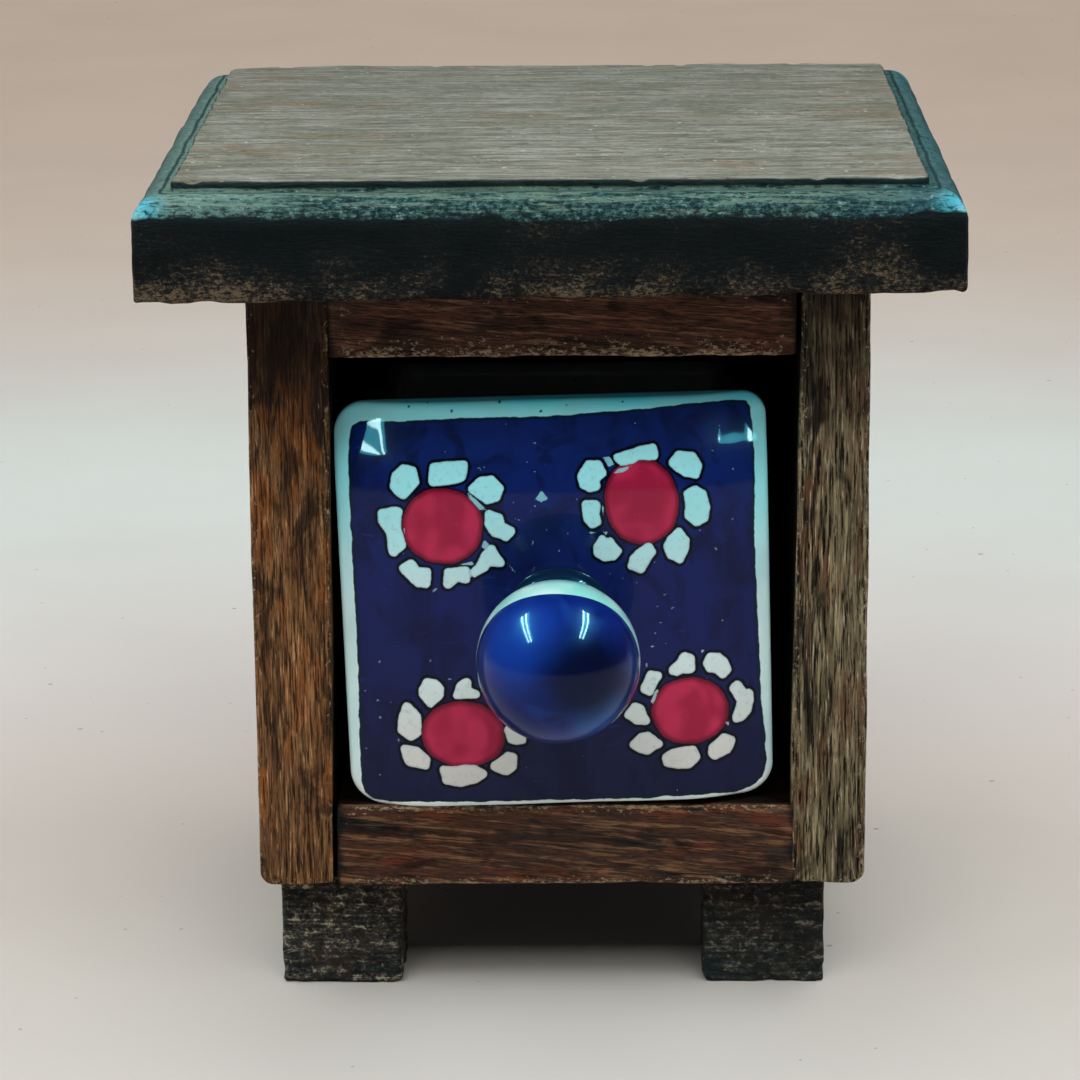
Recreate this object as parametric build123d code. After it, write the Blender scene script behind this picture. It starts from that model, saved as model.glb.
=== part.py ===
from build123d import *
import os
from math import sqrt

# A small wooden chest with one glazed ceramic drawer. All sizes are in mm.
# +X is to the right, +Y to the back and +Z up. The origin is on the floor, under the
# middle of the whole outline, knob included.

# Moulded top board
top_w = 115.0
top_d = 115.0
top_edge_h = 10.8        # upright lower part of its edge
top_round_r = 3.7        # quarter round above it
top_ledge = 1.4          # flat ledge inside the quarter round
top_step_h = 1.4         # step up to the raised middle
top_front_over = 13.7    # overhang in front of the case
case_shift_x = 1.0       # the case sits this far right of the top's middle

# Case: two side boards, with a bottom board and an inner top board between them
opening_w = 66.5
opening_h = 66.5
left_side_t = 11.4
right_side_t = 10.3
bottom_t = 12.1
inner_top_t = 11.2
board_d = 83.0
back_t = 5.0
side_corner_r = 2.2      # lower outer corner of each side board
ease_r = 0.5             # hand-eased front edges

# Feet: four blocks of end grain
foot_w = 18.0
foot_d = 18.0
foot_h = 16.5
foot_setback = 3.6
left_foot_inset = 2.6
right_foot_inset = 5.6
foot_ease_r = 0.8

# Drawer front: a thick pillowed slab of glazed clay, flush with the case
gap_left = 1.2           # between drawer front and left side board
gap_right = 4.0
gap_top = 6.6
front_t = 9.0
front_corner_r = 4.0
front_edge_r = 2.8       # rounding of its front edges
front_back_r = 0.8       # rounding of its rear edges

# Drawer tub: three walls and a floor, luted to the back of the drawer front
tub_h = 48.0
tub_wall = 4.0
tub_floor_t = 4.5
tub_inset = 2.0          # its walls stand this far inside the drawer front's sides
tub_corner_r = 4.0
tub_rim_r = 1.2
stop_gap = 0.5           # between its rear wall and the back panel, when closed

# Drawer knob: a ball on a flared neck
ball_r = 11.3
ball_standoff = 20.5     # from the drawer's face to the ball's centre
neck_r = 6.2
neck_base_r = 9.5
neck_base_h = 0.6
neck_flare_r = 3.3
knob_shift_x = 0.7       # from the middle of the drawer front
knob_drop = 2.4

# Fasteners, and the slack round them in their holes
slack = 0.05
side_nail_r = 0.9
side_nail_l = 26.0
side_nail_in = 28.0      # from the front and rear edges of the boards
foot_nail_r = 0.9
foot_nail_l = 25.0
foot_nail_in = 4.5       # inside the joint between side board and bottom board
foot_nail_pitch = 10.0
back_pin_r = 0.6
back_pin_l = 15.0
back_pin_end = 20.0      # from the ends of each edge of the case
nail_head_ratio = 1.9    # head radius over shank radius
nail_head_t = 0.8
screw_r = 1.5
screw_l = 21.0
screw_head_r = 3.0
screw_head_h = 1.6
screw_slot_w = 0.8
screw_slot_d = 0.7
screw_in = 16.0          # from the sides, front and rear of the inner top board

# Places worked out from the sizes above
case_w = left_side_t + opening_w + right_side_t
case_d = board_d + back_t
knob_reach = ball_standoff + ball_r
front_reach = max(top_front_over, knob_reach)
back_reach = max(case_d, top_d - top_front_over)
y_front = -(front_reach + back_reach) / 2 + front_reach
y_boards_back = y_front + board_d
y_back = y_front + case_d
x_left = case_shift_x - case_w / 2
x_in_left = x_left + left_side_t
x_in_right = x_in_left + opening_w
x_right = x_in_right + right_side_t
z_bottom = foot_h
z_floor = z_bottom + bottom_t
z_ceiling = z_floor + opening_h
z_case = z_ceiling + inner_top_t
z_ledge = z_case + top_edge_h + top_round_r
drawer_w = opening_w - gap_left - gap_right
drawer_h = opening_h - gap_top
x_drawer = x_in_left + gap_left + drawer_w / 2
tub_w = drawer_w - 2 * tub_inset
tub_d = board_d - front_t - stop_gap


def block(x0, x1, y0, y1, z0, z1):
    """A square-edged board between two corners."""
    centre = ((x0 + x1) / 2, (y0 + y1) / 2, (z0 + z1) / 2)
    return Pos(*centre) * Box(x1 - x0, y1 - y0, z1 - z0)


def nail(radius, length, grow=0.0):
    """A nail along +Z from the top of its head at the origin, grown for its hole."""
    head = Cylinder(radius * nail_head_ratio + grow, nail_head_t + grow,
                    align=(Align.CENTER, Align.CENTER, Align.MIN))
    shank = Cylinder(radius + grow, length + grow, align=(Align.CENTER, Align.CENTER, Align.MIN))
    return head + shank


def screw(grow=0.0):
    """A countersunk screw along +Z from the face of its head at the origin."""
    head = Cone(screw_head_r + grow, screw_r + grow, screw_head_h,
                align=(Align.CENTER, Align.CENTER, Align.MIN))
    shank = Cylinder(screw_r + grow, screw_l + grow, align=(Align.CENTER, Align.CENTER, Align.MIN))
    return head + shank


def side_nail_places():
    """Nails through both side boards into the ends of the two boards between them."""
    heights = (z_bottom + bottom_t / 2, z_ceiling + inner_top_t / 2)
    depths = (y_front + side_nail_in, y_boards_back - side_nail_in)
    left = [Pos(x_left, y, z) * Rot(0, 90, 0) for z in heights for y in depths]
    right = [Pos(x_right, y, z) * Rot(0, -90, 0) for z in heights for y in depths]
    return left + right


def top_screw_places():
    """Screws up through the inner top board into the moulded top."""
    xs = (x_in_left + screw_in, x_in_right - screw_in)
    ys = (y_front + screw_in, y_boards_back - screw_in)
    return [Pos(x, y, z_ceiling) for x in xs for y in ys]


def foot_corners():
    """Name and lowest x and y of each foot."""
    left = x_left + left_foot_inset
    right = x_right - right_foot_inset - foot_w
    front = y_front + foot_setback
    back = y_back - foot_setback - foot_d
    return {"foot_front_left": (left, front), "foot_front_right": (right, front),
            "foot_back_left": (left, back), "foot_back_right": (right, back)}


def foot_nail_places():
    """Two nails up through each foot into the bottom board."""
    places = []
    for name, (x, y) in foot_corners().items():
        nail_x = x_in_left + foot_nail_in if name.endswith("left") else x_in_right - foot_nail_in
        middle = y + foot_d / 2
        for nail_y in (middle - foot_nail_pitch / 2, middle + foot_nail_pitch / 2):
            places.append(Pos(nail_x, nail_y, 0))
    return places


def back_pin_places():
    """Pins through the back panel into the rear edges of the four boards."""
    xs = (x_left + back_pin_end, x_right - back_pin_end)
    zs = (z_bottom + back_pin_end, z_case - back_pin_end)
    spots = [(x, z) for x in xs for z in (z_bottom + bottom_t / 2, z_case - inner_top_t / 2)]
    spots += [(x, z) for z in zs for x in (x_left + left_side_t / 2, x_right - right_side_t / 2)]
    return [Pos(x, y_back, z) * Rot(90, 0, 0) for x, z in spots]


def drilled(board, holes):
    """The board with each nail or screw hole cut out of it."""
    for hole in holes:
        board -= hole
    return board


side_nail_holes = [p * nail(side_nail_r, side_nail_l, slack) for p in side_nail_places()]
top_screw_holes = [p * screw(slack) for p in top_screw_places()]
foot_nail_holes = [p * nail(foot_nail_r, foot_nail_l, slack) for p in foot_nail_places()]
back_pin_holes = [p * nail(back_pin_r, back_pin_l, slack) for p in back_pin_places()]


def front_edges(board):
    """The edges round the board's front face."""
    return board.faces().sort_by(Axis.Y)[0].edges()


def make_top_board():
    """A board with a quarter round, a ledge and a raised middle, worked on its upper edge."""
    x = top_w / 2
    y0 = y_front - top_front_over
    y1 = y0 + top_d
    slab = block(-x, x, y0, y1, z_case, z_ledge)
    slab = fillet(slab.faces().sort_by(Axis.Z)[-1].edges(), top_round_r)
    inset = top_round_r + top_ledge
    slab += block(-x + inset, x - inset, y0 + inset, y1 - inset, z_ledge, z_ledge + top_step_h)
    return drilled(slab, top_screw_holes)


def make_side(x0, x1, outer_x):
    """An upright board, its lower outer corner rounded and its front edges eased."""
    board = block(x0, x1, y_front, y_boards_back, z_bottom, z_case)
    low = board.edges().filter_by(Axis.Y).sort_by(Axis.Z)[:2]
    corner = low.sort_by(lambda e: abs(e.center().X - outer_x))[0]
    board = fillet(corner, side_corner_r)
    board = fillet(front_edges(board), ease_r)
    return drilled(board, side_nail_holes + back_pin_holes)


def make_rail(z0, z1, holes):
    """A board between the sides, its front edges eased."""
    board = block(x_in_left, x_in_right, y_front, y_boards_back, z0, z1)
    board = fillet(front_edges(board), ease_r)
    return drilled(board, holes)


def make_back_panel():
    """A thin board over the rear edges of the case, its lower corners like the sides'."""
    board = block(x_left, x_right, y_boards_back, y_back, z_bottom, z_case)
    board = fillet(board.edges().filter_by(Axis.Y).sort_by(Axis.Z)[:2], side_corner_r)
    return drilled(board, back_pin_holes)


def make_foot(x, y):
    """A square block with eased upright edges."""
    foot = block(x, x + foot_w, y, y + foot_d, 0, foot_h)
    foot = fillet(foot.edges().filter_by(Axis.Z), foot_ease_r)
    return drilled(foot, foot_nail_holes)


def make_drawer_front():
    """A slab with round corners, well rounded in front and eased behind."""
    slab = block(x_drawer - drawer_w / 2, x_drawer + drawer_w / 2,
                 y_front, y_front + front_t, z_floor, z_floor + drawer_h)
    slab = fillet(slab.edges().filter_by(Axis.Y), front_corner_r)
    slab = fillet(slab.faces().sort_by(Axis.Y)[0].edges(), front_edge_r)
    return fillet(slab.faces().sort_by(Axis.Y)[-1].edges(), front_back_r)


def make_drawer_tub():
    """Floor and three walls, open at the top and closed in front by the drawer front."""
    x0, x1 = x_drawer - tub_w / 2, x_drawer + tub_w / 2
    y0 = y_front + front_t
    y1 = y0 + tub_d
    tub = block(x0, x1, y0, y1, z_floor, z_floor + tub_h)
    rear = tub.edges().filter_by(Axis.Z).sort_by(Axis.Y)[-2:]
    tub = fillet(rear, tub_corner_r)
    pocket = block(x0 + tub_wall, x1 - tub_wall, y0, y1 - tub_wall,
                   z_floor + tub_floor_t, z_floor + tub_h)
    rear = pocket.edges().filter_by(Axis.Z).sort_by(Axis.Y)[-2:]
    tub -= fillet(rear, tub_corner_r - tub_rim_r)
    rim = tub.faces().sort_by(Axis.Z)[-1].edges()
    clear_of_front = [e for e in rim if e.center().Y > y0 + tub_wall / 2]
    return fillet(clear_of_front, tub_rim_r)


def make_drawer_knob():
    """Turned profile swung about the knob's axis: base, concave flare, neck and ball."""
    neck_end = ball_standoff - sqrt(ball_r ** 2 - neck_r ** 2)
    flare_top = neck_base_h + neck_base_r - neck_r
    half_way = neck_flare_r * sqrt(0.5)
    profile = Polyline((0, 0), (neck_base_r, 0), (neck_base_r, neck_base_h))
    flare_mid = (neck_base_r - half_way, flare_top - half_way)
    profile += ThreePointArc((neck_base_r, neck_base_h), flare_mid, (neck_r, flare_top))
    profile += Line((neck_r, flare_top), (neck_r, neck_end))
    profile += ThreePointArc((neck_r, neck_end), (ball_r, ball_standoff),
                             (0, ball_standoff + ball_r))
    profile += Line((0, ball_standoff + ball_r), (0, 0))
    knob = revolve(make_face(profile), Axis.Y)
    centre = (x_drawer + knob_shift_x, y_front, z_floor + drawer_h / 2 - knob_drop)
    return Pos(*centre) * Rot(0, 0, 180) * knob


def make_top_screws():
    """The four screws with their slots."""
    slot = Box(2 * screw_head_r + slack, screw_slot_w, screw_slot_d,
               align=(Align.CENTER, Align.CENTER, Align.MIN))
    return [p * (screw() - slot) for p in top_screw_places()]


parts = {
    "top_board": make_top_board(),
    "left_side": make_side(x_left, x_in_left, x_left),
    "right_side": make_side(x_in_right, x_right, x_right),
    "inner_top_board": make_rail(z_ceiling, z_case,
                                 side_nail_holes + top_screw_holes + back_pin_holes),
    "bottom_board": make_rail(z_bottom, z_floor,
                              side_nail_holes + foot_nail_holes + back_pin_holes),
    "back_panel": make_back_panel(),
    "drawer_front": make_drawer_front(),
    "drawer_tub": make_drawer_tub(),
    "drawer_knob": make_drawer_knob(),
    "side_nails": [p * nail(side_nail_r, side_nail_l) for p in side_nail_places()],
    "top_screws": make_top_screws(),
    "foot_nails": [p * nail(foot_nail_r, foot_nail_l) for p in foot_nail_places()],
    "back_pins": [p * nail(back_pin_r, back_pin_l) for p in back_pin_places()],
}
for foot_name, (foot_x, foot_y) in foot_corners().items():
    parts[foot_name] = make_foot(foot_x, foot_y)

os.makedirs("parts", exist_ok=True)
for name, shape in parts.items():
    solids = shape if isinstance(shape, list) else [shape]
    solids = [s for item in solids for s in item.solids()]
    export_step(solids[0] if len(solids) == 1 else Compound(children=solids),
                f"parts/{name}.step")
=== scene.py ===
# A small wooden chest with one glazed ceramic drawer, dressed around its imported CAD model.
# Shapes are worked out in millimetres, in the part's frame: +X right, +Y back, +Z up.
import math

import bpy
import numpy as np
from mathutils import Matrix, Vector


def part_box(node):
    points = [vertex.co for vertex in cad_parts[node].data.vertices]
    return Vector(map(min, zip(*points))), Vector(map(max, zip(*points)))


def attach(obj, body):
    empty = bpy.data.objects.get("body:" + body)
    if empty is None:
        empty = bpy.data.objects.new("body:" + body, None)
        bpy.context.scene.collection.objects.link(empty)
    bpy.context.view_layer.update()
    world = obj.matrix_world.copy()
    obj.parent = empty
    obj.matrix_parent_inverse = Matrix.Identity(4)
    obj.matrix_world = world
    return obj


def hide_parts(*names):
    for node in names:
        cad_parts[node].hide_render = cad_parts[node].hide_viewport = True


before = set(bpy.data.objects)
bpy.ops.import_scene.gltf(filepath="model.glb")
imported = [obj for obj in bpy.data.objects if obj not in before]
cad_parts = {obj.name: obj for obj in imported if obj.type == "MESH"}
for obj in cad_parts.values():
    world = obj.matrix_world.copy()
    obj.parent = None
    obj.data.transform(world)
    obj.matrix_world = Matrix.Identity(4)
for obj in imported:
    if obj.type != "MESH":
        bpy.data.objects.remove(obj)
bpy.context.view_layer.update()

MM = 0.001


# Camera: stands a little above the chest and looks down at its front. Its place and turn come
# from the edges of the top and the case in the photograph, taken as 1080 x 1080 pixels.
camera_at = (7.4, -635.1, 227.5)
focal_pixels, frame_pixels = 4353.3, 1080
pitch_down, turn_left, roll = 14.835, 0.879, -0.487      # degrees

lens = bpy.data.cameras.new("camera")
lens.sensor_width = 36.0
lens.lens = focal_pixels / frame_pixels * lens.sensor_width
lens.clip_start, lens.clip_end = 0.01, 20.0
camera = bpy.data.objects.new("camera", lens)
bpy.context.scene.collection.objects.link(camera)
camera.matrix_world = (Matrix.Translation(Vector(camera_at) * MM)
                       @ Matrix.Rotation(math.radians(turn_left), 4, "Z")
                       @ Matrix.Rotation(math.radians(90 - pitch_down), 4, "X")
                       @ Matrix.Rotation(math.radians(roll), 4, "Z"))
bpy.context.scene.camera = camera


# Top board: one thick board of hardwood, stained nearly black on its upright edge and rubbed back
# above, where its grey-olive middle is partly painted sheen of overhead light. A quarter round, a
# ledge and a step are cut round its upper edge. The moulding is painted teal as a reflection of
# cyan light, with painted highlights at its front corners and painted shade on the step's face.
# Screws from inside the case hold it.
round_r, ledge_w, step_h = 3.7, 1.4, 1.4         # quarter round, ledge and step, in mm
lower_ease, plateau_ease, plan_round = 0.5, 0.45, 0.9
board_lean = 1.1                 # how much thicker the hand-planed board is at its left end
moulding_start = 14.0            # degrees: the quarter round meets the upright edge in a crease
round_row, ledge_row, step_row = 12, 22, 26      # rows of the profile where these begin


def linear(code):
    """Linear colour of an sRGB hex code: c/12.92 below 0.04045, else ((c+0.055)/1.055)^2.4."""
    c = np.array([int(code[i:i + 2], 16) for i in (1, 3, 5)]) / 255
    return (*np.where(c <= 0.04045, c / 12.92, ((c + 0.055) / 1.055) ** 2.4), 1.0)


def corners(node):
    """Lowest and highest corner of a CAD node, in mm."""
    low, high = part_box(node)
    return np.array(low) / MM, np.array(high) / MM


def lines(low, high, margin, fine, coarse):
    """Grid lines from low to high: fine steps in a margin at either end, coarse ones between."""
    margin = min(margin, (high - low) / 3)
    start = np.linspace(0, margin, max(2, round(margin / fine)), endpoint=False)
    middle = np.linspace(low + margin, high - margin,
                         max(2, round((high - low - 2 * margin) / coarse) + 1))
    return np.concatenate([low + start, middle, high - start[::-1]])


def brick_skin(xs, ys, zs):
    """Points and quads on the outside of a brick: the crossings of three sets of lines that
    lie on its six faces, each shared along the brick's edges, with quads facing outwards."""
    shape = (len(xs), len(ys), len(zs))
    ijk = np.indices(shape).reshape(3, -1)
    outside = ((ijk == 0) | (ijk == np.array(shape)[:, None] - 1)).any(0)
    number = np.full(shape, -1)
    number.reshape(-1)[outside] = np.arange(outside.sum())
    i, j, k = ijk[:, outside]
    points = np.stack([xs[i], ys[j], zs[k]], 1)
    faces = (number[-1], number[0].T, number[:, 0], number[:, -1].T,
             number[:, :, -1], number[:, :, 0].T)
    quads = [np.stack([f[:-1, :-1], f[1:, :-1], f[1:, 1:], f[:-1, 1:]], -1).reshape(-1, 4)
             for f in faces]
    return points, np.concatenate(quads)


def lumps(points, size, seed, waves=26):
    """Smooth random lumps about size mm apart, from about -1 to 1: the sum of plane waves with
    random directions, lengths and phases, over the square root of their number."""
    draw = np.random.default_rng(seed)
    heading = draw.normal(size=(waves, 3))
    heading /= np.linalg.norm(heading, axis=1)[:, None]
    turns = heading * (2 * math.pi / (size * draw.uniform(1.2, 2.6, waves)))[:, None]
    phase = draw.uniform(0, 2 * math.pi, waves)
    return np.sin(points @ turns.T + phase).sum(1) / math.sqrt(waves)


def round_plan(plan, half, radius):
    """A square plan with its corners rolled round: a point keeps its share of the way from the
    middle to the outline, and the outline's corners become arcs of that radius."""
    share = np.max(np.abs(plan) / half, axis=1)[:, None]
    rim = plan / np.maximum(share, 1e-9)
    core = np.clip(rim, -(half - radius), half - radius)
    away = rim - core
    reach = np.linalg.norm(away, axis=1)[:, None]
    return (core + away / np.maximum(reach, 1e-9) * radius) * share


def make_piece(name, points, faces, material, **marks):
    """A mesh object from points in mm and faces, shaded smooth. Each mark is one number a point,
    kept as an attribute that the material reads."""
    mesh = bpy.data.meshes.new(name)
    mesh.from_pydata(points * MM, [], faces.tolist() if isinstance(faces, np.ndarray) else faces)
    mesh.polygons.foreach_set("use_smooth", np.ones(len(mesh.polygons), bool))
    for mark, values in marks.items():
        layer = mesh.attributes.new(mark, "FLOAT", "POINT")
        layer.data.foreach_set("value", np.asarray(values, np.float32))
    mesh.materials.append(material)
    mesh.update()
    made = bpy.data.objects.new(name, mesh)
    bpy.context.scene.collection.objects.link(made)
    return made


def new_finish(name, **shader_settings):
    """An empty material with one Principled shader. Settings are its sockets, _ for space."""
    material = bpy.data.materials.new(name)
    material.use_nodes = True
    tree = material.node_tree
    shader = tree.nodes["Principled BSDF"]
    for socket, value in shader_settings.items():
        shader.inputs[socket.replace("_", " ")].default_value = value
    return material, tree, shader


def add(tree, kind, inputs=None, **settings):
    """Adds a node. Settings go to its own properties; inputs give a socket a value, or a link
    where the value is another node's output. Returns the first output in use."""
    made = tree.nodes.new("ShaderNode" + kind)
    for setting, value in settings.items():
        setattr(made, setting, value)
    for socket, value in (inputs or {}).items():
        if isinstance(value, bpy.types.NodeSocket):
            tree.links.new(value, made.inputs[socket])
        else:
            made.inputs[socket].default_value = value
    return next(out for out in made.outputs if out.enabled)


def maths(tree, operation, *values):
    """One step of arithmetic, such as ADD, on values or other nodes' outputs."""
    return add(tree, "Math", dict(enumerate(values)), operation=operation)


def spread(tree, value, start, full, low, high):
    """A value spread from low, where it is start, to high, where it is full, and held beyond."""
    return add(tree, "MapRange", {0: value, 1: start, 2: full, 3: low, 4: high})


def wandering(tree, noise, low, high):
    """A noise pattern, which mostly lies between 0.3 and 0.7, spread from low to high."""
    return spread(tree, noise, 0.3, 0.7, low, high)


def coordinates(tree):
    """X, Y and Z of a point in metres, one output each."""
    place = tree.nodes.new("ShaderNodeTexCoord").outputs["Object"]
    return list(add(tree, "SeparateXYZ", {0: place}).node.outputs)


def read_marks(tree, *names):
    """The marks that make_piece kept with the points, one output each."""
    return [add(tree, "Attribute", attribute_name=name).node.outputs["Fac"] for name in names]


def link_up(tree, shader, colour, *relief):
    """Links a colour to the shader. A relief is a height, the strength of its bump and its depth
    in mm, and also shows in the coat where there is one."""
    tree.links.new(colour, shader.inputs["Base Color"])
    if relief:
        height, strength, depth = relief
        bump = add(tree, "Bump", {"Height": height, "Strength": strength, "Distance": depth * MM})
        tree.links.new(bump, shader.inputs["Normal"])
        if shader.inputs["Coat Weight"].default_value:
            tree.links.new(bump, shader.inputs["Coat Normal"])


def patterns(tree, sizes, shift=0.0, turn=(0.0, 0.0, 0.0)):
    """Noise patterns in Object coordinates, by name. Each is given the size of its lumps in mm
    along X, Y and Z, its detail, the roughness of that detail and its distortion."""
    place = tree.nodes.new("ShaderNodeTexCoord").outputs["Object"]
    made = {}
    for name, (size, detail, rough, twist) in sizes.items():
        at = add(tree, "Mapping", {0: place, "Location": [shift * MM] * 3, "Rotation": turn,
                                   "Scale": [s * MM for s in size]}, vector_type="TEXTURE")
        made[name] = add(tree, "TexNoise", {"Vector": at, "Scale": 1.0, "Detail": detail,
                                            "Roughness": rough, "Distortion": twist})
    return made


def laid_over(tree, colour, *layers):
    """Colours laid one over another. A layer is a mark, the values where it starts and where it
    is full, how much it then covers, and its colour, in hex or from a node."""
    for mark, start, full, most, above in layers:
        cover = add(tree, "MapRange", {0: mark, 1: start, 2: full, 3: 0.0, 4: most},
                    interpolation_type="SMOOTHSTEP")
        below, above = (linear(c) if isinstance(c, str) else c for c in (colour, above))
        colour = add(tree, "Mix", {0: cover, 6: below, 7: above}, data_type="RGBA")
    return colour


def top_board_skin():
    """A profile carried round a square. Up the brick's sides each line follows the profile:
    eased lower edge, upright face, quarter round, ledge, step, eased edge of the middle. Its
    top and bottom faces shrink to meet the profile's ends. Wear only ever goes inwards."""
    low, high = corners("top_board")
    middle, half = (low + high)[:2] / 2, (high - low)[:2] / 2
    edge_h = high[2] - low[2] - step_h - round_r
    ease = np.linspace(0, math.pi / 2, 4)
    turn = np.radians(np.linspace(moulding_start, 90, 11))
    squash = 1 - math.cos(math.radians(moulding_start))
    inset = np.concatenate([lower_ease * (1 - np.sin(ease)), np.zeros(8),
                            round_r * (1 - np.cos(turn) - squash) / (1 - squash),
                            round_r + ledge_w * np.array([0.35, 0.7, 0.95, 1.0, 1.0, 1.0]),
                            round_r + ledge_w + plateau_ease * (1 - np.cos(ease))])
    top_z = edge_h + round_r
    height = np.concatenate([lower_ease * (1 - np.cos(ease)), np.linspace(1.0, edge_h, 9)[:-1],
                             edge_h + round_r * (np.sin(turn) - np.sin(turn[0]))
                             / (1 - np.sin(turn[0])),
                             top_z - np.array([0.0, 0.05, 0.12, 0.1, -0.35, -0.7]),
                             top_z + step_h - plateau_ease * (1 - np.sin(ease))])
    along = np.concatenate([[0], np.cumsum(np.hypot(np.diff(inset), np.diff(height)))])
    steps = np.arange(len(inset), dtype=float)
    margin, fine, coarse = 4, 0.35, 0.8
    xs, ys = (lines(-reach, reach, margin, fine, coarse) for reach in half)
    points, quads = brick_skin(xs, ys, steps)
    step = points[:, 2]
    inward = np.interp(step, steps, inset)
    z = np.interp(step, steps, height)
    up = np.interp(step, steps, along)
    share = np.max(np.abs(points[:, :2]) / half, axis=1)
    plan = round_plan(points[:, :2], half, plan_round) * (1 - inward[:, None] / half)
    on_top, below = (step == steps[-1]), (step == 0)
    up = np.where(on_top, up + (1 - share) * half[0], np.where(below, -(1 - share) * half[0], up))
    place = np.column_stack([plan, z])
    stretched = place * (0.35, 1.0, 1.0)
    # long hollows from hand planing, and small dents along the edges
    hollow = 0.10 * (1 + lumps(stretched, 9, 1)) + 0.05 * (1 + lumps(stretched, 2.2, 2))
    hollow = np.maximum(hollow, 0)
    near_low = np.clip(1 - np.abs(up) / 1.6, 0, 1)
    near_rim = np.clip(1 - np.abs(up - along[-1]) / 1.2, 0, 1)
    chips = np.maximum(lumps(place, 2.4, 3) - 0.75, 0)
    plan -= np.sign(plan) * np.where(share > 0.999, 1, 0)[:, None] * np.where(
        np.abs(plan) > half - 7, 1, 0) * (hollow * 0.8 + chips * near_low * 0.35)[:, None]
    moulded = np.clip(up - along[round_row], 0, 1)
    z = z - hollow * moulded - chips * near_rim * 0.45
    z = z + np.where(up < 1.5, 0.30, 0) * near_low * np.maximum(lumps(place, 3.5, 4), 0)
    # the underside is planed out of true: lower at the left end, higher at the right
    lean = np.clip(1 - np.maximum(z, 0) / edge_h, 0, 1)
    z = z + lean * board_lean * plan[:, 0] / (2 * half[0])
    corner = np.linalg.norm(half - np.abs(plan), axis=1)
    return np.column_stack([plan + middle, z + low[2]]), quads, up, corner, along


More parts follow.
